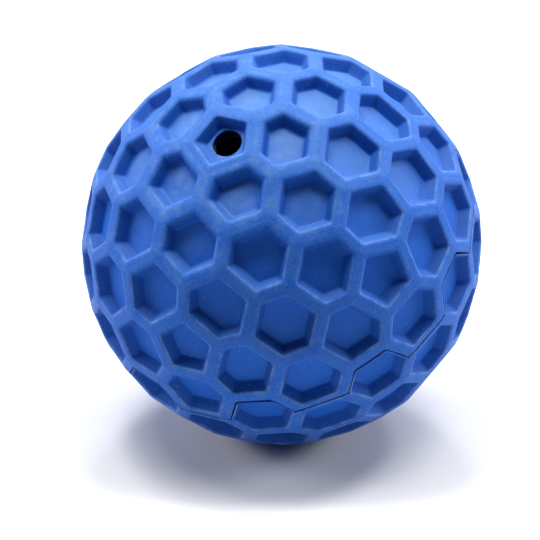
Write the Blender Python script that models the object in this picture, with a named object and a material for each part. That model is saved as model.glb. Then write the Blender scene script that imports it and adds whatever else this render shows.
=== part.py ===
"""Squeaky rubber dog ball.

Two moulded rubber half shells, covered in honeycomb dimples and bonded along a stepped seam,
hold a reed squeaker behind the hole in the upper half. Lengths are in metres and +Z is up.
The ball stands on the flat rim of one dimple, with the hole leaning away from the vertical.
"""

import itertools
import math

import bmesh
import bpy
from mathutils import Matrix, Vector

# Ball. The wall is measured from a ridge to the cavity, the ridge between two dimple mouths,
# and the run is how far a dimple's wall leans in on its way down to the floor.
ACROSS_FLATS = 0.0686
WALL = 0.0060
RIDGE_WIDTH = 0.0025
DIMPLE_DEPTH = 0.0021
DIMPLE_WALL_RUN = 0.0010
BOND_GAP = 0.0006

# Angle from a pentagon to the hexagons around it, and the way the squeak hole faces
PENTAGON_TO_HEXAGON = math.radians(18.0)
HOLE_AZIMUTH = math.radians(-119.0)

# Squeak hole and the rubber socket behind it
SQUEAK_HOLE_DIAMETER = 0.0049
HOLE_LENGTH = 0.0020
BOSS_WALL = 0.0020
LIP_REACH = 0.0010
LIP_THICKNESS = 0.0012

# Squeaker
FIT_GAP = 0.0003
BARREL_DIAMETER = 0.0120
BARREL_WALL = 0.0010
BARREL_LENGTH = 0.0140
BARREL_END = 0.0010
CAP_THICKNESS = 0.0010
CAP_PLUG = 0.0013
CAP_HOLE_DIAMETER = 0.0016
CAP_HOLE_CIRCLE = 0.0056
CAP_HOLE_COUNT = 6
GROOVE_WIDTH = 0.0030
GROOVE_DEPTH = 0.0020
GROOVE_END = 0.0016
CLAMP_LENGTH = 0.0040
REED_WIDTH = 0.0044
REED_THICKNESS = 0.00025
REED_ROOT = 0.0024

# Fineness of round pieces
TURNED_STEPS = 32
HALF_ROUND_STEPS = 16
DRILL_STEPS = 16
SHARP_ANGLE = math.radians(35)
MERGE_DISTANCE = 1e-7

# Icosahedron angles: between neighbouring corners, and from a corner to a face's centre
CORNER_TO_CORNER = math.atan(2)
CORNER_TO_CENTRE = math.acos(math.sqrt((5 + 2 * math.sqrt(5)) / 15))
ANGLE_SLACK = math.radians(1)

# Levels on the mould axis, measured from the ball's centre towards the hole
FACE_LEVEL = ACROSS_FLATS / 2
FLOOR_LEVEL = FACE_LEVEL - DIMPLE_DEPTH
CAVITY_LEVEL = FACE_LEVEL - WALL
SOCKET_TOP = FLOOR_LEVEL - HOLE_LENGTH
BARREL_TOP = SOCKET_TOP - FIT_GAP
BARREL_BOTTOM = BARREL_TOP - BARREL_LENGTH
CAP_TOP = BARREL_BOTTOM - FIT_GAP
CAP_BOTTOM = CAP_TOP - CAP_THICKNESS
PLUG_TOP = CAP_TOP + CAP_PLUG
SOCKET_BOTTOM = CAP_BOTTOM - FIT_GAP
BOSS_BOTTOM = SOCKET_BOTTOM - LIP_THICKNESS
UNIT_TOP = BARREL_TOP - BARREL_END - FIT_GAP
UNIT_BOTTOM = PLUG_TOP + FIT_GAP
REED_PIVOT = UNIT_TOP - CLAMP_LENGTH
REED_TIP = UNIT_BOTTOM + GROOVE_END / 2

# Radii about the mould axis
HOLE_RADIUS = SQUEAK_HOLE_DIAMETER / 2
BARREL_RADIUS = BARREL_DIAMETER / 2
SOCKET_RADIUS = BARREL_RADIUS + FIT_GAP
BOSS_RADIUS = SOCKET_RADIUS + BOSS_WALL
LIP_RADIUS = BARREL_RADIUS - LIP_REACH
BORE_RADIUS = BARREL_RADIUS - BARREL_WALL
UNIT_RADIUS = BORE_RADIUS - FIT_GAP
HALF_SLOT = REED_THICKNESS / 2 + FIT_GAP

# Colours
RUBBER_BLUE = (0.018, 0.119, 0.550)
PLASTIC_BLACK = (0.012, 0.012, 0.013)
FILM_GREY = (0.62, 0.66, 0.68)


def clear_scene():
    for old in list(bpy.data.objects):
        bpy.data.objects.remove(old, do_unlink=True)


def material(name, colour, roughness):
    made = bpy.data.materials.new(name)
    made.use_nodes = True
    shader = made.node_tree.nodes["Principled BSDF"]
    shader.inputs["Base Color"].default_value = (*colour, 1.0)
    shader.inputs["Roughness"].default_value = roughness
    shader.inputs["Metallic"].default_value = 0.0
    return made


def add_object(name, bm, parent=None, level=0.0, look=None, smooth=False):
    """Turn a bmesh into a named object that sits on the mould axis at the given level."""
    bmesh.ops.recalc_face_normals(bm, faces=bm.faces)
    mesh = bpy.data.meshes.new(name)
    bm.to_mesh(mesh)
    bm.free()
    if smooth:
        mesh.shade_smooth()
        mesh.set_sharp_from_angle(angle=SHARP_ANGLE)
    made = bpy.data.objects.new(name, mesh)
    bpy.context.collection.objects.link(made)
    made.parent = parent
    made.location.z = level
    if look:
        mesh.materials.append(look)
    return made


def combine(target, cutter, operation="DIFFERENCE"):
    """Take a cutter away from a piece, or join it on, and keep the cutter itself out of the model."""
    cutter.hide_render = True
    cutter.display_type = "WIRE"
    boolean = target.modifiers.new(cutter.name, "BOOLEAN")
    boolean.object = cutter
    boolean.operation = operation
    boolean.solver = "EXACT"


# Honeycomb

def on_sphere(polar, azimuth):
    return Vector((
        math.sin(polar) * math.cos(azimuth),
        math.sin(polar) * math.sin(azimuth),
        math.cos(polar),
    ))


def honeycomb_directions():
    """Directions of all dimples: 12 pentagons on an icosahedron's corners and 110 hexagons between."""
    fifth = math.tau / 5
    corners = [on_sphere(0, 0), on_sphere(math.pi, 0)]
    corners += [on_sphere(CORNER_TO_CORNER, fifth * k) for k in range(5)]
    corners += [on_sphere(math.pi - CORNER_TO_CORNER, fifth * (k + 0.5)) for k in range(5)]

    def near(a, b):
        return a.angle(b) < CORNER_TO_CORNER + ANGLE_SLACK

    edges = [(a + b).normalized() for a, b in itertools.combinations(corners, 2) if near(a, b)]
    triples = [
        t for t in itertools.combinations(corners, 3)
        if all(near(a, b) for a, b in itertools.combinations(t, 2))
    ]
    centres = []
    between = []
    for triple in triples:
        centre = sum(triple, Vector()).normalized()
        centres.append(centre)
        for corner in triple:
            across = (centre - corner * centre.dot(corner)).normalized()
            between.append(corner * math.cos(PENTAGON_TO_HEXAGON) + across * math.sin(PENTAGON_TO_HEXAGON))
    return corners + edges + centres + between


DIRECTIONS = honeycomb_directions()
UPPER = 1
LOWER = 0


def honeycomb(radius):
    """Solid bounded by the tangent plane of every dimple, with each face tagged by its half.

    It is cut from a cube around the unit sphere and then brought to size.
    """
    bm = bmesh.new()
    bmesh.ops.create_cube(bm, size=4)
    for direction in DIRECTIONS:
        everything = bm.verts[:] + bm.edges[:] + bm.faces[:]
        section = bmesh.ops.bisect_plane(
            bm, geom=everything, plane_co=direction, plane_no=direction, clear_outer=True)
        rim = [e for e in section["geom_cut"] if isinstance(e, bmesh.types.BMEdge)]
        bmesh.ops.contextual_create(bm, geom=rim)
    bmesh.ops.scale(bm, vec=(radius, radius, radius), verts=bm.verts)
    bm.normal_update()
    half = bm.faces.layers.int.new("half")
    equatorial = bm.faces.layers.int.new("equatorial")
    for face in bm.faces:
        direction = max(DIRECTIONS, key=face.normal.dot)
        face[equatorial] = int(abs(direction.z) < math.sin(ANGLE_SLACK))
        face[half] = UPPER if direction.z > 0 and not face[equatorial] else LOWER
    return bm


def add_ridges(bm):
    """Inset every cell by half a ridge. The ridge over an equatorial dimple joins the upper half."""
    half = bm.faces.layers.int["half"]
    equatorial = bm.faces.layers.int["equatorial"]
    cells = bm.faces[:]
    ring = bmesh.ops.inset_individual(
        bm, faces=cells, thickness=RIDGE_WIDTH / 2, depth=0.0, use_even_offset=True)["faces"]
    mouths = [f for f in cells if f not in set(ring)]
    above = []
    for face in ring:
        across = [other for e in face.edges for other in e.link_faces if other is not face]
        if face[equatorial] and any(other[half] == UPPER for other in across):
            above.append(face)
    for face in above:
        face[half] = UPPER
    return mouths


def trimmed_half(bm, which):
    """Keep one half's faces and draw its border back by half the bond gap."""
    half = bm.faces.layers.int["half"]
    other = [f for f in bm.faces if f[half] != which]
    bmesh.ops.delete(bm, geom=other, context="FACES")
    rim = bmesh.ops.inset_region(
        bm, faces=bm.faces[:], thickness=BOND_GAP / 2, depth=0.0,
        use_boundary=True, use_even_offset=True)["faces"]
    bmesh.ops.delete(bm, geom=rim, context="FACES")
    return bm


def half_shell(which):
    """One half: dimpled outside, plain cavity inside, and the seam wall between their borders."""
    outer = honeycomb(FACE_LEVEL)
    mouths = add_ridges(outer)
    bmesh.ops.inset_individual(
        outer, faces=mouths, thickness=DIMPLE_WALL_RUN, depth=-DIMPLE_DEPTH, use_even_offset=True)
    trimmed_half(outer, which)

    inner = honeycomb(FACE_LEVEL)
    add_ridges(inner)
    trimmed_half(inner, which)
    shrink = CAVITY_LEVEL / FACE_LEVEL
    bmesh.ops.scale(inner, vec=(shrink, shrink, shrink), verts=inner.verts)
    bmesh.ops.reverse_faces(inner, faces=inner.faces)

    cavity = bpy.data.meshes.new("cavity")
    inner.to_mesh(cavity)
    inner.free()
    outer.from_mesh(cavity)
    bpy.data.meshes.remove(cavity)
    borders = [e for e in outer.edges if e.is_boundary]
    bmesh.ops.bridge_loops(outer, edges=borders)
    return outer


# Turned and half-round pieces

def turned(profile, steps=TURNED_STEPS):
    """Revolve a closed outline of (radius, level) points about the mould axis."""
    bm = bmesh.new()
    points = [bm.verts.new((radius, 0.0, level)) for radius, level in profile]
    outline = [bm.edges.new((a, b)) for a, b in zip(points, points[1:] + points[:1])]
    bmesh.ops.spin(
        bm, geom=points + outline, cent=(0, 0, 0), axis=(0, 0, 1), angle=math.tau,
        steps=steps, use_merge=True, use_duplicate=False)
    bmesh.ops.remove_doubles(bm, verts=bm.verts, dist=MERGE_DISTANCE)
    axis_edges = [e for e in bm.edges if e.is_wire]
    bmesh.ops.delete(bm, geom=axis_edges, context="EDGES")
    return bm


def prism(outline, bottom, top):
    """Extrude an (x, y) outline between two levels."""
    bm = bmesh.new()
    base = bm.faces.new([bm.verts.new((x, y, bottom)) for x, y in outline])
    lifted = bmesh.ops.extrude_face_region(bm, geom=[base])["geom"]
    moved = [v for v in lifted if isinstance(v, bmesh.types.BMVert)]
    bmesh.ops.translate(bm, vec=(0, 0, top - bottom), verts=moved)
    return bm


def half_round(side):
    """Outline of a half-round bar that leaves the reed's slot free. Side is +1 or -1 along Y."""
    start = math.asin(HALF_SLOT / UNIT_RADIUS)
    sweep = math.pi - 2 * start
    angles = [start + sweep * k / HALF_ROUND_STEPS for k in range(HALF_ROUND_STEPS + 1)]
    return [(UNIT_RADIUS * math.cos(a), side * UNIT_RADIUS * math.sin(a)) for a in angles]


# Pieces

def make_upper_shell(axis):
    shell = add_object(
        "upper_shell", half_shell(UPPER), axis, look=material("upper_rubber", RUBBER_BLUE, 0.75))
    roof = math.sqrt(FLOOR_LEVEL ** 2 - BOSS_RADIUS ** 2)
    boss_top = (CAVITY_LEVEL + roof) / 2
    boss = turned([
        (0, boss_top),
        (BOSS_RADIUS, boss_top),
        (BOSS_RADIUS, BOSS_BOTTOM),
        (0, BOSS_BOTTOM),
    ])
    combine(shell, add_object("socket_boss", boss, axis), "UNION")
    below = BOSS_BOTTOM - LIP_THICKNESS
    bore = turned([
        (0, FACE_LEVEL),
        (HOLE_RADIUS, FACE_LEVEL),
        (HOLE_RADIUS, SOCKET_TOP),
        (SOCKET_RADIUS, SOCKET_TOP),
        (SOCKET_RADIUS, SOCKET_BOTTOM),
        (LIP_RADIUS, SOCKET_BOTTOM),
        (LIP_RADIUS, below),
        (0, below),
    ])
    combine(shell, add_object("socket_bore", bore, axis))


def make_lower_shell(axis):
    add_object("lower_shell", half_shell(LOWER), axis, look=material("lower_rubber", RUBBER_BLUE, 0.75))


def make_barrel(axis):
    """Tube with a mouth in its outer end that lines up with the squeak hole."""
    barrel = turned([
        (HOLE_RADIUS, BARREL_TOP),
        (BARREL_RADIUS, BARREL_TOP),
        (BARREL_RADIUS, BARREL_BOTTOM),
        (BORE_RADIUS, BARREL_BOTTOM),
        (BORE_RADIUS, BARREL_TOP - BARREL_END),
        (HOLE_RADIUS, BARREL_TOP - BARREL_END),
    ])
    look = material("barrel_plastic", PLASTIC_BLACK, 0.45)
    add_object("squeaker_barrel", barrel, axis, look=look, smooth=True)


def make_cap(axis):
    """Perforated cap that plugs the barrel's inner end."""
    plug_radius = BORE_RADIUS - FIT_GAP
    body = turned([
        (0, PLUG_TOP),
        (plug_radius, PLUG_TOP),
        (plug_radius, CAP_TOP),
        (BARREL_RADIUS, CAP_TOP),
        (BARREL_RADIUS, CAP_BOTTOM),
        (0, CAP_BOTTOM),
    ])
    look = material("cap_plastic", PLASTIC_BLACK, 0.45)
    cap = add_object("squeaker_cap", body, axis, look=look, smooth=True)
    radius = CAP_HOLE_DIAMETER / 2
    above, below = PLUG_TOP + CAP_PLUG, CAP_BOTTOM - CAP_PLUG
    drill = [(0, above), (radius, above), (radius, below), (0, below)]
    for k in range(CAP_HOLE_COUNT):
        turn = math.tau * k / CAP_HOLE_COUNT
        hole = add_object(f"cap_drill_{k}", turned(drill, DRILL_STEPS), axis)
        hole.location.x = CAP_HOLE_CIRCLE / 2 * math.cos(turn)
        hole.location.y = CAP_HOLE_CIRCLE / 2 * math.sin(turn)
        combine(cap, hole)


def make_reed_seat(axis):
    """Half-round bar whose flat face has the air groove that the reed covers."""
    look = material("seat_plastic", PLASTIC_BLACK, 0.40)
    seat = add_object("reed_seat", prism(half_round(-1), UNIT_BOTTOM, UNIT_TOP), axis, look=look)
    groove_top = UNIT_TOP + GROOVE_END
    half_width = GROOVE_WIDTH / 2
    floor = -HALF_SLOT - GROOVE_DEPTH
    groove = prism(
        [(-half_width, floor), (half_width, floor), (half_width, HALF_SLOT), (-half_width, HALF_SLOT)],
        UNIT_BOTTOM + GROOVE_END, groove_top)
    combine(seat, add_object("air_groove", groove, axis))


def make_reed_clamp(axis):
    """Short half-round bar that pinches the reed's root against the seat."""
    look = material("clamp_plastic", PLASTIC_BLACK, 0.40)
    add_object("reed_clamp", prism(half_round(1), REED_PIVOT, UNIT_TOP), axis, look=look)


def make_reed(axis):
    """Thin tongue with a rounded tip. Its origin is on the line where it bends, at the clamp's edge."""
    half_width = REED_WIDTH / 2
    root, tip = REED_ROOT, REED_TIP - REED_PIVOT
    corner = half_width / 2
    steps = HALF_ROUND_STEPS // 2
    outline = [(half_width, root), (-half_width, root)]
    for side, begin in ((-1, math.pi), (1, 1.5 * math.pi)):
        for k in range(steps + 1):
            angle = begin + math.pi / 2 * k / steps
            outline.append((
                side * (half_width - corner) + corner * math.cos(angle),
                tip + corner + corner * math.sin(angle),
            ))
    tongue = prism(outline, -REED_THICKNESS / 2, REED_THICKNESS / 2)
    bmesh.ops.rotate(tongue, matrix=Matrix.Rotation(math.pi / 2, 3, "X"), verts=tongue.verts)
    add_object("reed", tongue, axis, level=REED_PIVOT, look=material("reed_film", FILM_GREY, 0.25))


def make_mould_axis():
    """Empty at the ball's centre, tilted so that the ball stands on a hexagon next to the lower pole."""
    axis = bpy.data.objects.new("mould_axis", None)
    bpy.context.collection.objects.link(axis)
    axis.location = (0, 0, FACE_LEVEL)
    axis.rotation_euler = (0, CORNER_TO_CENTRE, HOLE_AZIMUTH)
    return axis


def main():
    clear_scene()
    axis = make_mould_axis()
    make_upper_shell(axis)
    make_lower_shell(axis)
    make_barrel(axis)
    make_cap(axis)
    make_reed_seat(axis)
    make_reed_clamp(axis)
    make_reed(axis)


main()
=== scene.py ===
import itertools
import math

import bmesh
import bpy
import numpy as np
from mathutils import Matrix, Vector, kdtree, noise


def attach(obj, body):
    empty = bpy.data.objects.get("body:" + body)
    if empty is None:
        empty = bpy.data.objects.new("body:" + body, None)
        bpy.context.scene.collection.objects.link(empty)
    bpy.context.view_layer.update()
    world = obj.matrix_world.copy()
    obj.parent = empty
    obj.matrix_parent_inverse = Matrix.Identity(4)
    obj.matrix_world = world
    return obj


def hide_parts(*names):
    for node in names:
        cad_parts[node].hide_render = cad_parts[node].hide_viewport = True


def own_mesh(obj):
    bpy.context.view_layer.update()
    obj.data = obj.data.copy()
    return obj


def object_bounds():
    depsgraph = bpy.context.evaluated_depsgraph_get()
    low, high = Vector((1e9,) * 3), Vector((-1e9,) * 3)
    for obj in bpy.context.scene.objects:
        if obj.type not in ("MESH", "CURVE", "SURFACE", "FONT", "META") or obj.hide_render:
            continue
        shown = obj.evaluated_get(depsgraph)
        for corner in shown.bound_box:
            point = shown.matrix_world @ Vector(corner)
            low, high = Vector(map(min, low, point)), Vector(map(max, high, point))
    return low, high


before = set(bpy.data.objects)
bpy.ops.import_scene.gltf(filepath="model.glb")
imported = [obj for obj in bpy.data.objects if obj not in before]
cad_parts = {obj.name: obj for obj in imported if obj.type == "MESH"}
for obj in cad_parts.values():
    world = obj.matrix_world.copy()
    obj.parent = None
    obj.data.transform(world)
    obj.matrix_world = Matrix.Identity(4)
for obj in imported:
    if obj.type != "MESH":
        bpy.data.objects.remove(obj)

CAD_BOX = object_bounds()

# Ball, in metres, as the part's source has it
FACE_LEVEL = (CAD_BOX[1].z - CAD_BOX[0].z) / 2
WALL = 0.0060
RIDGE_WIDTH = 0.0025
DIMPLE_DEPTH = 0.0021
DIMPLE_WALL_RUN = 0.0010
PENTAGON_TO_HEXAGON = math.radians(18.0)
HOLE_AZIMUTH = math.radians(-119.0)

# Squeak hole and the socket behind it
HOLE_RADIUS = 0.00255
HOLE_LENGTH = 0.0020
SOCKET_RADIUS = 0.0063
SOCKET_LENGTH = 0.0159
BOSS_RADIUS = 0.0083
LIP_RADIUS = 0.0050
LIP_THICKNESS = 0.0012
RECESS_RADIUS = 0.0076
HOLE_FILLET = 0.00018

# Shift of the hole and of its dimple's floor, and how much narrower that floor is than the others
HOLE_OFFSET = np.array((0.0, -0.0006))
HOLE_FLOOR_NARROWED = 0.00025

# Rounding of the moulded rubber; a pair is for crisp dimples and for the softened ones around the hole, and
# the two angles are counted from the hole
CROWN_DROP = 0.00014
CROWN_REACH = 0.9
MOUTH_FILLET = (0.00055, 0.00090)
MOUTH_DRAWN_IN = (0.0, 0.00045)
FLOOR_FILLET = (0.00036, 0.00080)
FLOOR_DRAWN_IN = (0.0, 0.00040)
MOUTH_CORNER = 0.00080
FLOOR_CORNER = 0.00060
SOFT_WITHIN = math.radians(20)
CRISP_BEYOND = math.radians(42)

# Mesh fineness: steps along a corner's half arc, a straight side and the fillets
ARC_STEPS = 3
STRAIGHT_STEPS = 5
FILLET_STEPS = 4
SIDE_STEPS = 2 * ARC_STEPS + 1 + STRAIGHT_STEPS

# Angles of an icosahedron, the slack in comparing them, and the widest angle between neighbouring dimples
CORNER_TO_CORNER = math.atan(2)
CORNER_TO_CENTRE = math.acos(math.sqrt((5 + 2 * math.sqrt(5)) / 15))
ANGLE_SLACK = math.radians(1)
NEIGHBOUR_ANGLE = math.radians(26)

MOUTH_INSET = RIDGE_WIDTH / 2
FLOOR_INSET = MOUTH_INSET + DIMPLE_WALL_RUN
CAVITY_LEVEL = FACE_LEVEL - WALL
FLOOR_LEVEL = FACE_LEVEL - DIMPLE_DEPTH
BALL_CENTRE = Vector((0, 0, FACE_LEVEL))
TILT = Matrix.Rotation(HOLE_AZIMUTH, 3, "Z") @ Matrix.Rotation(CORNER_TO_CENTRE, 3, "Y")
SOCKET_TOP = FLOOR_LEVEL - HOLE_LENGTH
SOCKET_BOTTOM = SOCKET_TOP - SOCKET_LENGTH
BOSS_BOTTOM = SOCKET_BOTTOM - LIP_THICKNESS
UPPER = 1
LOWER = 0


def between(pair, share):
    return pair[0] + (pair[1] - pair[0]) * share


def share_of_way(value, start, end):
    """How far value is on the way from start to end, held between 0 and 1."""
    return min(1.0, max(0.0, (value - start) / (end - start)))


# Honeycomb layout

def on_sphere(polar, azimuth):
    return np.array((
        math.sin(polar) * math.cos(azimuth),
        math.sin(polar) * math.sin(azimuth),
        math.cos(polar),
    ))


def unit(vector):
    return vector / np.linalg.norm(vector)


def angle_between(a, b):
    return math.acos(max(-1.0, min(1.0, float(a @ b))))


def honeycomb_directions():
    """Directions of all dimples: pentagons on an icosahedron's corners and hexagons between them."""
    fifth = math.tau / 5
    corners = [on_sphere(0, 0), on_sphere(math.pi, 0)]
    corners += [on_sphere(CORNER_TO_CORNER, fifth * k) for k in range(5)]
    corners += [on_sphere(math.pi - CORNER_TO_CORNER, fifth * (k + 0.5)) for k in range(5)]

    def near(a, b):
        return angle_between(a, b) < CORNER_TO_CORNER + ANGLE_SLACK

    edges = [unit(a + b) for a, b in itertools.combinations(corners, 2) if near(a, b)]
    triples = [
        t for t in itertools.combinations(corners, 3)
        if all(near(a, b) for a, b in itertools.combinations(t, 2))
    ]
    centres = []
    around = []
    for triple in triples:
        centre = unit(sum(triple))
        centres.append(centre)
        for corner in triple:
            across = unit(centre - corner * (centre @ corner))
            turn = PENTAGON_TO_HEXAGON
            around.append(corner * math.cos(turn) + across * math.sin(turn))
    return np.array(corners + edges + centres + around)


DIRECTIONS = honeycomb_directions()

# A cell whose normal has at least this upward share is laid out from X instead of Z
STEEP = 0.9


class Cell:
    """One dimple's flat outline, as sides with an outward angle, an apothem and a neighbour."""

    def __init__(self, index):
        self.index = index
        self.normal = DIRECTIONS[index]
        reference = (0.0, 0.0, 1.0) if abs(self.normal[2]) < STEEP else (1.0, 0.0, 0.0)
        self.right = unit(np.cross(np.array(reference), self.normal))
        self.up = np.cross(self.normal, self.right)
        self.equatorial = abs(self.normal[2]) < math.sin(ANGLE_SLACK)
        self.half = UPPER if self.normal[2] > 0 and not self.equatorial else LOWER
        sides = []
        for other, direction in enumerate(DIRECTIONS):
            apart = angle_between(self.normal, direction)
            if other != index and apart < NEIGHBOUR_ANGLE:
                angle = math.atan2(direction @ self.up, direction @ self.right)
                sides.append((angle, FACE_LEVEL * math.tan(apart / 2), other))
        self.sides = sorted(sides)

    def corner(self, k, inset):
        """Crossing of side k - 1 and side k when both are drawn in by inset."""
        n = len(self.sides)
        first, second = self.sides[(k - 1) % n], self.sides[k % n]
        lines = np.array([[math.cos(s[0]), math.sin(s[0])] for s in (first, second)])
        return np.linalg.solve(lines, np.array([first[1] - inset, second[1] - inset]))

    def border(self):
        """Evenly stepped outline, which the neighbours share."""
        n = len(self.sides)
        corners = [self.corner(k, 0.0) for k in range(n)]
        points = []
        for k in range(n):
            for step in range(-ARC_STEPS, ARC_STEPS + STRAIGHT_STEPS + 1):
                side = k - 1 if step < 0 else k
                start, end = corners[side], corners[(side + 1) % n]
                share = (step / SIDE_STEPS) % 1.0
                points.append(start + (end - start) * share)
        return np.array(points)

    def ring(self, inset, radius):
        """Outline drawn in by inset, with corners of that radius."""
        n = len(self.sides)
        arcs = []
        for k in range(n):
            centre = self.corner(k, inset + radius)
            begin = self.sides[k - 1][0]
            sweep = (self.sides[k][0] - begin) % math.tau
            turns = [begin + sweep * i / (2 * ARC_STEPS) for i in range(2 * ARC_STEPS + 1)]
            arcs.append([centre + radius * np.array((math.cos(a), math.sin(a))) for a in turns])
        points = []
        for k in range(n):
            points += arcs[k]
            start, end = arcs[k][-1], arcs[(k + 1) % n][0]
            for i in range(1, STRAIGHT_STEPS + 1):
                points.append(start + (end - start) * i / (STRAIGHT_STEPS + 1))
        return np.array(points)

    def side_of_column(self, column):
        return ((column - ARC_STEPS) // SIDE_STEPS) % len(self.sides)

    def place(self, flat, depth):
        """Flat (x, y) points at a depth below the cell's plane, in the mould's frame."""
        return np.outer(np.full(len(flat), FACE_LEVEL - depth), self.normal) \
            + np.outer(flat[:, 0], self.right) + np.outer(flat[:, 1], self.up)


CELLS = [Cell(i) for i in range(len(DIRECTIONS))]
POLE_CELL = 0


# Profile of a dimple, from the middle of the ridge down to the floor

# Rings on the ridge, as shares of the way to the mouth, and on the floor, as shares of its width
RIDGE_SHARES = (0.35, 0.70)
FLOOR_SHARES = (0.66, 0.33)

# Dust on the ridge of a crisp and of a softened dimple, dust down the rounded edge of the mouth that becomes
# painted highlight where the edge faces up, the share of that which a crisp and a softened dimple have, and
# dust on the wall and on a softened dimple's floor
RIDGE_DUST = (0.13, 0.30)
EDGE_DUST_AND_HIGHLIGHT = (0.25, 0.6, 0.65, 0.3, 0.05)
EDGE_SHARE = (1.0, 0.45)
WALL_DUST = 0.05
FLOOR_DUST = 0.5

# Flow lines are counted from 0 in the middle of a ridge to 1 at the mouth, and on by this much to the floor
FLOW_DOWN = 2.0


def softness(cell):
    """1 for the worn dimples next to the hole, 0 for crisp ones far from it and for the hole's own."""
    if cell.index == POLE_CELL:
        return 0.0
    apart = angle_between(cell.normal, CELLS[POLE_CELL].normal)
    return share_of_way(apart, CRISP_BEYOND, SOFT_WITHIN)


def dimple_profile(soft, narrowed):
    """Rings below the ridge as (inset, depth, corner radius, dust, share of wall)."""
    mouth_fillet, floor_fillet = between(MOUTH_FILLET, soft), between(FLOOR_FILLET, soft)
    mouth_inset = MOUTH_INSET + between(MOUTH_DRAWN_IN, soft)
    floor_inset = FLOOR_INSET + between(FLOOR_DRAWN_IN, soft) + narrowed
    slope = math.atan2(DIMPLE_DEPTH, floor_inset - mouth_inset)
    mouth_tangent = mouth_fillet * math.tan(slope / 2)
    floor_tangent = floor_fillet * math.tan(slope / 2)
    rings = []
    for i in range(FILLET_STEPS + 1):
        turn = slope * i / FILLET_STEPS
        inset = mouth_inset - mouth_tangent + mouth_fillet * math.sin(turn)
        rings.append((inset, mouth_fillet * (1 - math.cos(turn)), EDGE_DUST_AND_HIGHLIGHT[i], i / FILLET_STEPS))
    rings.append(((mouth_inset + floor_inset) / 2, DIMPLE_DEPTH / 2, WALL_DUST, 1.0))
    for i in range(FILLET_STEPS + 1):
        turn = slope * (1 - i / FILLET_STEPS)
        inset = floor_inset + floor_tangent - floor_fillet * math.sin(turn)
        depth = DIMPLE_DEPTH - floor_fillet * (1 - math.cos(turn))
        rings.append((inset, depth, 0.0, 1 - i / FILLET_STEPS))
    return [
        (inset, depth, between((MOUTH_CORNER, FLOOR_CORNER), depth / DIMPLE_DEPTH), dust, wall)
        for inset, depth, dust, wall in rings
    ]


# Painted sheen, a pale highlight on what faces up: upward share of a cell's normal below which there is none
# and above which there is most, how much of it stays on a ridge, the share of the dimple's depth where the
# ridge's lip ends, and how much of it a wall loses
PAINTED_SHEEN_NONE_BELOW = -0.20
PAINTED_SHEEN_MOST_ABOVE = 0.50
RIDGE_PAINTED_SHEEN = 0.40
LIP_SHARE = 0.25
WALL_PAINTED_SHEEN_LOSS = 0.5

# Ring that the seam follows in an equatorial dimple, which is the first of its mouth
SEAM_RING = 1 + len(RIDGE_SHARES)

# Values on each vertex that the seam and the rubber's material read
ATTRIBUTES = ("dust", "smooth", "wall", "worn", "across", "dark", "bloom", "ledge")

# Border points of two cells are one when they agree to a micrometre
MERGES_PER_METRE = 1e6


class Surface:
    """Vertices with their attributes and faces, gathered cell by cell, with shared borders merged."""

    def __init__(self):
        self.points = []
        self.values = {label: [] for label in ATTRIBUTES}
        self.faces = []
        self.halves = []
        self.shared = {}

    def key(self, point):
        return tuple(np.round(point * MERGES_PER_METRE).astype(int))

    def add(self, points, shared=False, **values):
        made = []
        for point in points:
            if shared and self.key(point) in self.shared:
                made.append(self.shared[self.key(point)])
                continue
            made.append(len(self.points))
            if shared:
                self.shared[self.key(point)] = made[-1]
            self.points.append(point)
            for label in ATTRIBUTES:
                self.values[label].append(values.get(label, 0.0))
        return made

    def strip(self, first, second, half_of, flip=False):
        count = len(first)
        for i in range(count):
            j = (i + 1) % count
            quad = (first[i], first[j], second[j], second[i])
            self.faces.append(quad[::-1] if flip else quad)
            self.halves.append(half_of(i))

    def fan(self, ring, centre, half, flip=False):
        count = len(ring)
        for i in range(count):
            face = (ring[i], ring[(i + 1) % count], centre)
            self.faces.append(face[::-1] if flip else face)
            self.halves.append(half)


def ridge_half(cell):
    """The half that each column of a cell's ridge belongs to."""
    def half_of(column):
        if not cell.equatorial:
            return cell.half
        return CELLS[cell.sides[cell.side_of_column(column)][2]].half
    return half_of


def painted_sheen_of(cell, share):
    """How much painted sheen a share of a dimple's depth gets; less on cells that face down."""
    rise = (TILT @ Vector(cell.normal)).z
    lit_share = share_of_way(rise, PAINTED_SHEEN_NONE_BELOW, PAINTED_SHEEN_MOST_ABOVE)
    return lit_share * between((RIDGE_PAINTED_SHEEN, 1.0), min(1.0, share / LIP_SHARE))


def add_ridge(surface, cell, mouth, drop):
    """The cell's rings from its border to the start of the mouth's rounding."""
    border = cell.border()
    placed = cell.place(border, 0.0)
    placed *= 1 - drop / np.linalg.norm(placed, axis=1, keepdims=True)
    soft = softness(cell)
    look = {"dust": between(RIDGE_DUST, soft), "worn": soft, "bloom": painted_sheen_of(cell, 0.0)}
    rings = [surface.add(placed, shared=True, **look)]
    for share in RIDGE_SHARES:
        lowered = drop * max(0.0, 1 - share / CROWN_REACH) ** 2
        flat = border + (mouth - border) * share
        rings.append(surface.add(cell.place(flat, lowered), across=share, **look))
    return rings


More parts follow.
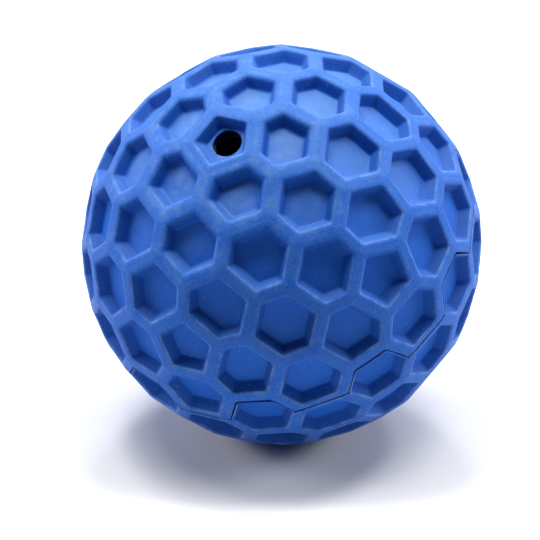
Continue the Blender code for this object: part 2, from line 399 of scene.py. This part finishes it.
def add_dimple(surface, cell):
    soft = softness(cell)
    profile = dimple_profile(soft, HOLE_FLOOR_NARROWED if cell.index == POLE_CELL else 0.0)
    rings = add_ridge(surface, cell, cell.ring(profile[0][0], profile[0][2]), CROWN_DROP)
    for k, (inset, depth, radius, dust, wall) in enumerate(profile):
        share = depth / DIMPLE_DEPTH
        # Painted sheen, less of it on the walls
        bloom = painted_sheen_of(cell, share) * (1 - WALL_PAINTED_SHEEN_LOSS * wall)
        flat = cell.ring(inset, radius)
        if cell.index == POLE_CELL:
            flat = flat + HOLE_OFFSET * share
        on_ledge = float(cell.equatorial and k == 0)
        rings.append(surface.add(
            cell.place(flat, depth), dust=dust * between(EDGE_SHARE, soft), smooth=share, wall=wall,
            worn=soft * (1 - share), across=1 + FLOW_DOWN * share, bloom=bloom, ledge=on_ledge))
    half_of = ridge_half(cell)
    for k, (first, second) in enumerate(zip(rings, rings[1:])):
        surface.strip(first, second, half_of if k < SEAM_RING else lambda column: cell.half)
    if cell.index == POLE_CELL:
        return rings[-1]
    floor = cell.ring(profile[-1][0], profile[-1][2])
    last = rings[-1]
    look = {"smooth": 1.0, "bloom": painted_sheen_of(cell, 1.0), "dust": FLOOR_DUST * soft}
    for share in FLOOR_SHARES:
        ring = surface.add(cell.place(floor * share, DIMPLE_DEPTH), **look)
        surface.strip(last, ring, lambda column: cell.half)
        last = ring
    centre = surface.add(cell.place(np.zeros((1, 2)), DIMPLE_DEPTH), **look)[0]
    surface.fan(last, centre, cell.half)
    return None


def add_cavity_cell(surface, cell):
    """Plain inside of the shell behind a cell, with the same border as the outside."""
    shrink = CAVITY_LEVEL / FACE_LEVEL
    border = cell.border()
    mouth = cell.ring(MOUTH_INSET, MOUTH_CORNER)
    rings = [surface.add(cell.place(border, 0.0) * shrink, shared=True)]
    steps = SEAM_RING if cell.equatorial else 1
    for step in range(1, steps + 1):
        flat = border + (mouth - border) * (step / steps)
        rings.append(surface.add(cell.place(flat, 0.0) * shrink))
    half_of = ridge_half(cell)
    for first, second in zip(rings, rings[1:]):
        surface.strip(first, second, half_of, flip=True)
    centre = surface.add(cell.place(np.zeros((1, 2)), 0.0) * shrink)[0]
    surface.fan(rings[-1], centre, cell.half, flip=True)


# Dust and painted highlight on the rounded rim of the squeak hole, and dust where its bore begins
HOLE_RIM_DUST_AND_HIGHLIGHT = 1.0
BORE_DUST = 0.2


def add_hole(surface, floor_ring):
    """Squeak hole in the pole's dimple and the recess behind it, which stays open to the cavity.

    The profile's rings are (radius, depth, dust, share of the painted shade inside the hole).
    """
    cell = CELLS[POLE_CELL]
    placed = np.array([surface.points[i] for i in floor_ring])
    angles = np.arctan2(placed @ cell.up - HOLE_OFFSET[1], placed @ cell.right - HOLE_OFFSET[0])
    circle = np.stack([np.cos(angles), np.sin(angles)], axis=1)
    web_bottom = DIMPLE_DEPTH + HOLE_LENGTH
    # Painted shade: the bore and the recess behind it are painted near-black, fading out towards the cavity
    profile = (
        (HOLE_RADIUS + HOLE_FILLET, DIMPLE_DEPTH - HOLE_FILLET / 3, HOLE_RIM_DUST_AND_HIGHLIGHT, 0.0),
        (HOLE_RADIUS + HOLE_FILLET / 3, DIMPLE_DEPTH + HOLE_FILLET / 3, HOLE_RIM_DUST_AND_HIGHLIGHT, 0.0),
        (HOLE_RADIUS, DIMPLE_DEPTH + HOLE_FILLET, BORE_DUST, 1.0),
        (HOLE_RADIUS, web_bottom, 0.0, 1.0),
        (RECESS_RADIUS, web_bottom, 0.0, 1.0),
        (RECESS_RADIUS, WALL, 0.0, 0.0),
    )
    last = floor_ring
    for radius, depth, dust, dark in profile:
        placed = cell.place(circle * radius + HOLE_OFFSET, depth)
        ring = surface.add(placed, dust=dust, smooth=1.0, dark=dark)
        surface.strip(last, ring, lambda column: cell.half)
        last = ring


def whole_surface():
    surface = Surface()
    for cell in CELLS:
        floor_ring = add_dimple(surface, cell)
        if floor_ring:
            add_hole(surface, floor_ring)
    surface.shared = {}
    around_hole = {POLE_CELL} | {side[2] for side in CELLS[POLE_CELL].sides}
    for cell in CELLS:
        if cell.index not in around_hole:
            add_cavity_cell(surface, cell)
    return surface


# Shells

# Seam, as how far each half stands back from it on a ridge and under the lip of an equatorial dimple, how far
# from the seam that has eased off, and how uneven it is, with waves per metre
SEAM_SETBACK = {UPPER: (0.00010, 0.00002), LOWER: (0.00030, 0.00060)}
SEAM_REACH = {UPPER: 0.0008, LOWER: 0.0016}
SEAM_UNEVEN = 0.35
SEAM_PITCH = 330.0

# Burr along the lower half's rim, with its waves per metre, and the dust on that rim
BURR = 0.00010
BURR_PITCH = 2900.0
RIM_DUST = 0.9

# Height over the mould's middle above which an open edge belongs to the recess behind the hole
ROOF_LEVEL = 0.015
DOWN_MOULD = Vector((0, 0, -1))

# Unevenness of the moulded rubber as (size, waves per metre)
WOBBLE = ((0.00005, 260.0), (0.000018, 900.0))
WOBBLE_SEED = 1


def close_roof(bm):
    """Join the recess behind the hole to the cavity around it."""
    bmesh.ops.bridge_loops(bm, edges=[
        e for e in bm.edges if e.is_boundary and all(v.co.z > ROOF_LEVEL for v in e.verts)])


def setback(vert, ledge, half):
    far = between(SEAM_SETBACK[half], vert[ledge])
    far *= 1 + SEAM_UNEVEN * noise.noise(vert.co * SEAM_PITCH)
    if half == LOWER and vert[ledge] == 0:
        far += BURR * noise.noise(vert.co * BURR_PITCH)
    return far


def open_seam(bm, half):
    """Draw the border of a half back from the seam, easing off away from it."""
    ledge = bm.verts.layers.float["ledge"]
    dust = bm.verts.layers.float["dust"]
    rim = [v for v in bm.verts if v.is_boundary]
    pulls = []
    for vert in rim:
        inward = Vector()
        for edge in vert.link_edges:
            if edge.is_boundary:
                edge.smooth = False
                along = (edge.verts[1].co - edge.verts[0].co).normalized()
                face = edge.link_faces[0]
                away = face.calc_center_median() - (edge.verts[0].co + edge.verts[1].co) / 2
                inward += (away - along * away.dot(along)).normalized()
        if vert[ledge] and half == LOWER:
            inward = DOWN_MOULD
        pulls.append((vert.co.copy(), inward.normalized() * setback(vert, ledge, half)))
        if half == LOWER:
            vert[dust] = RIM_DUST
    tree = kdtree.KDTree(len(pulls))
    for i, (place, _) in enumerate(pulls):
        tree.insert(place, i)
    tree.balance()
    for vert in bm.verts:
        _, i, distance = tree.find(vert.co)
        if distance < SEAM_REACH[half]:
            vert.co += pulls[i][1] * (1 - distance / SEAM_REACH[half])


# Upward share of the surface's normal at which the painted sheen begins and is full, how much further up than
# the ball itself an edge faces where the painted highlight over its dust begins and is full, and the dust
# that stays elsewhere
PAINTED_SHEEN_FROM = 0.40
PAINTED_SHEEN_FULL = 0.90
EDGE_HIGHLIGHT_FROM = -0.30
EDGE_HIGHLIGHT_FULL = 0.15
DUST_BELOW = 0.10


def paint_light_from_above(bm):
    """Keep the painted sheen on what faces up, and the wear and the dust in full only on edges that lean up,
    where that value paints a highlight.
    """
    bloom = bm.verts.layers.float["bloom"]
    dust = bm.verts.layers.float["dust"]
    worn = bm.verts.layers.float["worn"]
    bm.normal_update()
    for vert in bm.verts:
        rise = vert.normal.z
        vert[bloom] *= share_of_way(rise, PAINTED_SHEEN_FROM, PAINTED_SHEEN_FULL)
        lean = rise - (vert.co - BALL_CENTRE).normalized().z
        kept = share_of_way(lean, EDGE_HIGHLIGHT_FROM, EDGE_HIGHLIGHT_FULL)
        # Painted highlight: the dust stays in full only on edges that lean up
        vert[dust] *= between((DUST_BELOW, 1.0), kept)
        vert[worn] *= kept


def wobble(bm):
    """Small unevenness of moulded rubber, the same at every run."""
    noise.seed_set(WOBBLE_SEED)
    for vert in bm.verts:
        for size, pitch in WOBBLE:
            vert.co += noise.noise_vector(vert.co * pitch) * size


# From the mould, with the hole at its pole, to the ball as it stands
MOULD = Matrix.Translation(BALL_CENTRE) @ TILT.to_4x4()


def add_object(name, data):
    made = bpy.data.objects.new(name, data)
    bpy.context.scene.collection.objects.link(made)
    return made


def half_shell(name, surface, half):
    mesh = bpy.data.meshes.new(name)
    mesh.from_pydata(
        [tuple(p) for p in surface.points], [],
        [f for f, h in zip(surface.faces, surface.halves) if h == half])
    for label in ATTRIBUTES:
        layer = mesh.attributes.new(label, "FLOAT", "POINT")
        layer.data.foreach_set("value", np.array(surface.values[label], np.float32))
    bm = bmesh.new()
    bm.from_mesh(mesh)
    bmesh.ops.delete(bm, geom=[v for v in bm.verts if not v.link_faces], context="VERTS")
    if half == UPPER:
        close_roof(bm)
    open_seam(bm, half)
    bmesh.ops.bridge_loops(bm, edges=[e for e in bm.edges if e.is_boundary])
    wobble(bm)
    bm.transform(MOULD)
    bmesh.ops.recalc_face_normals(bm, faces=bm.faces)
    if bm.calc_volume(signed=True) < 0:
        bmesh.ops.reverse_faces(bm, faces=bm.faces)
    paint_light_from_above(bm)
    for face in bm.faces:
        face.smooth = True
    bm.to_mesh(mesh)
    bm.free()
    return add_object(name, mesh)


BOSS_STEPS = 48
SHARP_ANGLE = math.radians(40)


def socket_boss(name):
    """Rubber tube behind the hole that grips the squeaker; its top is sunk into the shell's wall."""
    profile = (
        (SOCKET_RADIUS, SOCKET_TOP), (BOSS_RADIUS, SOCKET_TOP), (BOSS_RADIUS, BOSS_BOTTOM),
        (LIP_RADIUS, BOSS_BOTTOM), (LIP_RADIUS, SOCKET_BOTTOM), (SOCKET_RADIUS, SOCKET_BOTTOM),
    )
    points = []
    for radius, level in profile:
        for step in range(BOSS_STEPS):
            turn = math.tau * step / BOSS_STEPS
            points.append(MOULD @ Vector((radius * math.cos(turn), radius * math.sin(turn), level)))
    faces = []
    for k in range(len(profile)):
        first, second = k * BOSS_STEPS, (k + 1) % len(profile) * BOSS_STEPS
        for i in range(BOSS_STEPS):
            j = (i + 1) % BOSS_STEPS
            faces.append((first + i, second + i, second + j, first + j))
    mesh = bpy.data.meshes.new(name)
    mesh.from_pydata(points, [], faces)
    mesh.shade_smooth()
    mesh.set_sharp_from_angle(angle=SHARP_ANGLE)
    return add_object(name, mesh)


# Materials

def new_material(name):
    made = bpy.data.materials.new(name)
    made.use_nodes = True
    return made, made.node_tree, made.node_tree.nodes["Principled BSDF"]


def node(tree, kind, **inputs):
    made = tree.nodes.new(kind)
    for key, value in inputs.items():
        made.inputs[key.replace("_", " ")].default_value = value
    return made


# Rubber: its body between two blues, pores, painted shade on the walls, dust with painted highlight, painted
# sheen, specks, scuffs and painted shade inside the hole
RUBBER_BLUE = (0.0140, 0.128, 0.605, 1.0)
RUBBER_DEEP = (0.0125, 0.117, 0.565, 1.0)
# Darker blue of the grain's pores, which also paints shade on the dimples' walls
RUBBER_GRAIN_AND_SHADE = (0.0080, 0.080, 0.400, 1.0)
# Pale blue of dust, of the painted highlight on edges that face up, and of the frost on the ridges
RUBBER_DUST_AND_HIGHLIGHT = (0.195, 0.350, 0.650, 1.0)
# Painted sheen: a pale highlight on what faces up
RUBBER_PAINTED_SHEEN = (0.094, 0.230, 0.570, 1.0)
RUBBER_SPECK = (0.220, 0.400, 0.780, 1.0)
RUBBER_SCUFF = (0.180, 0.370, 0.640, 1.0)
# Painted shade inside the squeak hole and its recess
PAINTED_HOLE_SHADE = (0.003, 0.003, 0.030, 1.0)

# Textures of the rubber, in repeats per metre
PATCH_SCALE = 120.0
WEAR_SCALE = 420.0
GRAIN_SCALE = 3800.0
SPECK_SCALE = 1300.0

# Ranges as (low, high, result at low, result at high); depth is a share of the dimple's
PORES_BY_GRAIN = (0.38, 0.62, 0.45, 0.0)
PORES_BY_DEPTH = (0.0, 0.5, 1.0, 0.4)
# Painted shade on the dimples' walls, by their share of wall
PAINTED_SHADE_BY_WALL = (0.0, 1.0, 0.0, 0.75)
PAINTED_SHEEN_BY_PATCH = (0.3, 0.7, 0.6, 1.0)
DUST_AND_HIGHLIGHT_BY_WEAR = (0.36, 0.62, 0.05, 0.85)
FROST_BY_GRAIN = (0.46, 0.70, 0.0, 0.17)
FROST_BY_DEPTH = (0.0, 0.5, 1.0, 0.25)
SPECK_BY_DISTANCE = (0.10, 0.18, 0.5, 0.0)
SPECK_BY_CHANCE = (0.72, 0.78, 0.0, 1.0)
BUMP_BY_DEPTH = (0.0, 1.0, 0.65, 0.35)
ROUGHNESS_BY_DEPTH = (0.0, 1.0, 0.60, 0.52)

# Flow lines: phase across a ridge, how far the wear bends them, the half of each wave that shows, where the
# wear shows them, their height as a share of the grain's, and how much of their colour shows
FLOW_TURNS = 30.0
FLOW_DRIFT = 7.0
FLOW_RISING = (0.0, 1.0, 0.0, 1.0)
FLOW_BY_WEAR = (0.47, 0.60, 0.0, 1.0)
FLOW_HEIGHT = 0.5
SCUFF_SHARE = 0.5

# Height of the grain, in metres, and the rubber's faint gloss and sheen
GRAIN_HEIGHT = 0.00012
RUBBER_SPECULAR = 0.12
RUBBER_SHEEN = 0.10
RUBBER_SHEEN_ROUGHNESS = 0.3


def mix_colour(tree, factor, first, second):
    made = tree.nodes.new("ShaderNodeMix")
    made.data_type = "RGBA"
    tree.links.new(factor, made.inputs["Factor"])
    for socket, value in ((made.inputs["A"], first), (made.inputs["B"], second)):
        if isinstance(value, tuple):
            socket.default_value = value
        else:
            tree.links.new(value, socket)
    return made.outputs["Result"]


def attribute(tree, label):
    made = tree.nodes.new("ShaderNodeAttribute")
    made.attribute_name = label
    return made.outputs["Fac"]


def spread(tree, value, low, high, out_low, out_high):
    """Value mapped from low..high to out_low..out_high, held at both ends."""
    made = node(tree, "ShaderNodeMapRange", From_Min=low, From_Max=high, To_Min=out_low, To_Max=out_high)
    tree.links.new(value, made.inputs["Value"])
    return made.outputs["Result"]


def calculate(tree, operation, *values):
    made = tree.nodes.new("ShaderNodeMath")
    made.operation = operation
    for socket, value in zip(made.inputs, values):
        if isinstance(value, float):
            socket.default_value = value
        else:
            tree.links.new(value, socket)
    return made.outputs["Value"]


def times(tree, first, second):
    return calculate(tree, "MULTIPLY", first, second)


def flow_lines(tree, wear):
    """Fine lines along the mouths of the worn dimples, broken up by the wear."""
    drift = times(tree, wear, FLOW_DRIFT)
    phase = calculate(tree, "MULTIPLY_ADD", attribute(tree, "across"), FLOW_TURNS, drift)
    lines = spread(tree, calculate(tree, "SINE", phase), *FLOW_RISING)
    shown = times(tree, attribute(tree, "worn"), spread(tree, wear, *FLOW_BY_WEAR))
    return times(tree, lines, shown)


def rubber():
    made, tree, shader = new_material("blue_rubber")
    link = tree.links.new
    where = tree.nodes.new("ShaderNodeTexCoord").outputs["Object"]
    patch_texture = node(tree, "ShaderNodeTexNoise", Scale=PATCH_SCALE, Detail=4.0)
    wear_texture = node(tree, "ShaderNodeTexNoise", Scale=WEAR_SCALE, Detail=5.0, Roughness=0.6)
    grain_texture = node(tree, "ShaderNodeTexNoise", Scale=GRAIN_SCALE, Detail=2.0, Roughness=0.7)
    specks = node(tree, "ShaderNodeTexVoronoi", Scale=SPECK_SCALE)
    for texture in (patch_texture, wear_texture, grain_texture, specks):
        link(where, texture.inputs["Vector"])
    patches, wear, grain = (t.outputs["Fac"] for t in (patch_texture, wear_texture, grain_texture))
    depth = attribute(tree, "smooth")

    shade = mix_colour(tree, patches, RUBBER_DEEP, RUBBER_BLUE)
    pores = times(tree, spread(tree, grain, *PORES_BY_GRAIN), spread(tree, depth, *PORES_BY_DEPTH))
    grained = mix_colour(tree, pores, shade, RUBBER_GRAIN_AND_SHADE)
    # Painted shade: the dimples' walls are darkened towards the pores' blue
    painted_wall_shade = spread(tree, attribute(tree, "wall"), *PAINTED_SHADE_BY_WALL)
    body = mix_colour(tree, painted_wall_shade, grained, RUBBER_GRAIN_AND_SHADE)
    # Painted sheen: pale highlight on what faces up, broken up by the patches
    painted_sheen_share = times(tree, attribute(tree, "bloom"), spread(tree, patches, *PAINTED_SHEEN_BY_PATCH))
    sheened = mix_colour(tree, painted_sheen_share, body, RUBBER_PAINTED_SHEEN)
    # Dust, with painted highlight on edges that face up, broken up by the wear
    dust_and_highlight_share = times(tree, attribute(tree, "dust"), spread(tree, wear, *DUST_AND_HIGHLIGHT_BY_WEAR))
    dusted_and_highlighted = mix_colour(tree, dust_and_highlight_share, sheened, RUBBER_DUST_AND_HIGHLIGHT)
    frost = times(tree, spread(tree, grain, *FROST_BY_GRAIN), spread(tree, depth, *FROST_BY_DEPTH))
    frosted = mix_colour(tree, frost, dusted_and_highlighted, RUBBER_DUST_AND_HIGHLIGHT)
    flow = flow_lines(tree, wear)
    scuffed = mix_colour(tree, times(tree, flow, SCUFF_SHARE), frosted, RUBBER_SCUFF)
    speck = times(
        tree, spread(tree, specks.outputs["Distance"], *SPECK_BY_DISTANCE),
        spread(tree, specks.outputs["Color"], *SPECK_BY_CHANCE))
    dotted = mix_colour(tree, speck, scuffed, RUBBER_SPECK)
    # Painted shade: near-black inside the squeak hole
    link(mix_colour(tree, attribute(tree, "dark"), dotted, PAINTED_HOLE_SHADE), shader.inputs["Base Color"])

    bump = node(tree, "ShaderNodeBump", Distance=GRAIN_HEIGHT)
    link(spread(tree, depth, *BUMP_BY_DEPTH), bump.inputs["Strength"])
    link(calculate(tree, "MULTIPLY_ADD", flow, FLOW_HEIGHT, grain), bump.inputs["Height"])
    link(bump.outputs["Normal"], shader.inputs["Normal"])
    link(spread(tree, depth, *ROUGHNESS_BY_DEPTH), shader.inputs["Roughness"])
    shader.inputs["Specular IOR Level"].default_value = RUBBER_SPECULAR
    shader.inputs["Sheen Weight"].default_value = RUBBER_SHEEN
    shader.inputs["Sheen Roughness"].default_value = RUBBER_SHEEN_ROUGHNESS
    return made


# Squeaker's black plastic and the reed's film, and the faint mottle of both
BLACK = (0.012, 0.012, 0.013)
FILM = (0.5, 0.52, 0.55)
MOTTLE_SCALE = 900.0
MOTTLE_DARKEST = 0.8
MOTTLE_BUMP = 0.2
MOTTLE_HEIGHT = 0.00003


def plastic(name, colour, roughness, specular):
    made, tree, shader = new_material(name)
    where = tree.nodes.new("ShaderNodeTexCoord").outputs["Object"]
    mottle = node(tree, "ShaderNodeTexNoise", Scale=MOTTLE_SCALE, Detail=3.0)
    tree.links.new(where, mottle.inputs["Vector"])
    dark = tuple(c * MOTTLE_DARKEST for c in colour)
    mixed = mix_colour(tree, mottle.outputs["Fac"], (*dark, 1.0), (*colour, 1.0))
    tree.links.new(mixed, shader.inputs["Base Color"])
    bump = node(tree, "ShaderNodeBump", Strength=MOTTLE_BUMP, Distance=MOTTLE_HEIGHT)
    tree.links.new(mottle.outputs["Fac"], bump.inputs["Height"])
    tree.links.new(bump.outputs["Normal"], shader.inputs["Normal"])
    shader.inputs["Roughness"].default_value = roughness
    shader.inputs["Specular IOR Level"].default_value = specular
    return made


def dress(node_name, look):
    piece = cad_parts[node_name]
    piece.data.materials.clear()
    piece.data.materials.append(look)


# Stage

# Floor as the camera and reflections see it, and as it passes light on to the ball: as a small table top
# does, from near the ball and hardly from farther away
FLOOR_SIZE = 6.0
FLOOR_ROUGHNESS = 0.9
FLOOR_SEEN = (0.83, 0.83, 0.83, 1.0)
BOUNCE_NEAR = (0.66, 0.66, 0.66, 1.0)
BOUNCE_FAR = (0.04, 0.04, 0.04, 1.0)
TABLE_NEAR = 0.10
TABLE_FAR = 0.45


def seen(tree):
    """1 for rays from the camera, a reflection or a see-through surface, 0 for those that carry light."""
    path = tree.nodes.new("ShaderNodeLightPath").outputs
    looks = path["Is Camera Ray"]
    for kind in ("Is Glossy Ray", "Is Transmission Ray"):
        looks = calculate(tree, "MAXIMUM", looks, path[kind])
    return looks


def studio_floor():
    made, tree, shader = new_material("studio_paper")
    reach = tree.nodes.new("ShaderNodeVectorMath")
    reach.operation = "LENGTH"
    tree.links.new(tree.nodes.new("ShaderNodeNewGeometry").outputs["Position"], reach.inputs[0])
    far = spread(tree, reach.outputs["Value"], TABLE_NEAR, TABLE_FAR, 0.0, 1.0)
    bounce = mix_colour(tree, far, BOUNCE_NEAR, BOUNCE_FAR)
    tree.links.new(mix_colour(tree, seen(tree), bounce, FLOOR_SEEN), shader.inputs["Base Color"])
    shader.inputs["Roughness"].default_value = FLOOR_ROUGHNESS
    shader.inputs["Specular IOR Level"].default_value = 0.0
    return made


# Camera, from the ball's place and size in the photo, in pixels
PHOTO_SIZE = 540
SENSOR = 36.0
NEAR_CLIP = 0.01
CAMERA_ELEVATION = math.radians(23.5)
CAMERA_DISTANCE = 28 * FACE_LEVEL
BALL_RADIUS_PIXELS = 197.1
BALL_CENTRE_PIXELS = (281.7, 244.4)


def add_camera():
    data = bpy.data.cameras.new("photo_camera")
    pixels_away = BALL_RADIUS_PIXELS * math.sqrt((CAMERA_DISTANCE / FACE_LEVEL) ** 2 - 1)
    data.sensor_width = SENSOR
    data.lens = SENSOR * pixels_away / PHOTO_SIZE
    data.clip_start = NEAR_CLIP
    camera = add_object("photo_camera", data)
    back = Vector((0, -math.cos(CAMERA_ELEVATION), math.sin(CAMERA_ELEVATION)))
    upward = Vector((0, math.sin(CAMERA_ELEVATION), math.cos(CAMERA_ELEVATION)))
    pixel = FACE_LEVEL / BALL_RADIUS_PIXELS
    aside = (PHOTO_SIZE / 2 - BALL_CENTRE_PIXELS[0]) * pixel
    above = (BALL_CENTRE_PIXELS[1] - PHOTO_SIZE / 2) * pixel
    target = BALL_CENTRE + Vector((aside, 0, 0)) + upward * above
    camera.location = BALL_CENTRE + back * CAMERA_DISTANCE
    camera.rotation_euler = (target - camera.location).to_track_quat("-Z", "Y").to_euler()
    bpy.context.scene.camera = camera


# Softboxes as (name, azimuth, elevation, width, height, light level); azimuth 0 is the camera's side and
# 90 the right, and a level of 1 lights a surface that faces the box as a white sky would
SOFTBOX_DISTANCE = 2.4
SOFTBOXES = (
    ("top_box", 180, 86, 1.80, 0.65, 0.45),
    ("top_right_box", 90, 72, 0.50, 0.90, 0.37),
    ("top_left_box", 270, 72, 0.50, 0.90, 0.31),
    ("top_back_box", 225, 70, 0.40, 0.40, 0.24),
    ("back_right_box", 120, 52, 0.40, 0.40, 0.20),
    ("back_box", 180, 47, 0.40, 0.40, 0.26),
    ("right_box", 90, 28, 0.60, 0.60, 0.11),
    ("right_panel", 110, 18, 1.50, 0.60, 0.60),
    ("back_panel", 180, 16, 1.20, 0.70, 0.10),
    ("left_panel", 252, 20, 1.50, 0.60, 0.68),
)
WORLD_FILL = 0.03


def add_softbox(name, azimuth, elevation, width, height, level):
    turn, rise = math.radians(azimuth), math.radians(elevation)
    aside = math.cos(rise)
    towards = Vector((math.sin(turn) * aside, -math.cos(turn) * aside, math.sin(rise)))
    data = bpy.data.lights.new(name, "AREA")
    data.shape = "RECTANGLE"
    data.size = width
    data.size_y = height
    data.energy = level * (math.pi * SOFTBOX_DISTANCE) ** 2
    lamp = add_object(name, data)
    lamp.location = BALL_CENTRE + towards * SOFTBOX_DISTANCE
    lamp.rotation_euler = towards.to_track_quat("Z", "Y").to_euler()


def add_world():
    world = bpy.data.worlds.new("studio")
    world.use_nodes = True
    backdrop = world.node_tree.nodes["Background"]
    backdrop.inputs["Color"].default_value = (1.0, 1.0, 1.0, 1.0)
    backdrop.inputs["Strength"].default_value = WORLD_FILL
    bpy.context.scene.world = world


def add_stage():
    bpy.ops.mesh.primitive_plane_add(size=FLOOR_SIZE, location=(0, 0, 0))
    floor = bpy.context.object
    floor.name = "studio_floor"
    floor.data.materials.append(studio_floor())
    add_world()
    for softbox in SOFTBOXES:
        add_softbox(*softbox)
    bpy.context.scene.view_settings.view_transform = "Standard"


def main():
    add_camera()
    add_stage()
    surface = whole_surface()
    look = rubber()
    top = (0, 0, 2 * FACE_LEVEL)
    shells = (
        (half_shell("upper_rubber", surface, UPPER), "upper_shell", "upper_half", top),
        (half_shell("lower_rubber", surface, LOWER), "lower_shell", "lower_half", (0, 0, 0)),
    )
    for shell, node_name, body, anchor in shells:
        shell.data.materials.append(look)
        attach(shell, body)
        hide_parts(node_name)
        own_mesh(shell)
        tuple(anchor)
    boss = socket_boss("socket_rubber")
    boss.data.materials.append(look)
    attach(boss, "upper_half")
    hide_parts("upper_shell")
    black = plastic("black_plastic", BLACK, roughness=0.7, specular=0.15)
    for node_name in ("squeaker_barrel", "squeaker_cap", "reed_seat", "reed_clamp"):
        dress(node_name, black)
    dress("reed", plastic("film", FILM, roughness=0.3, specular=0.5))


main()
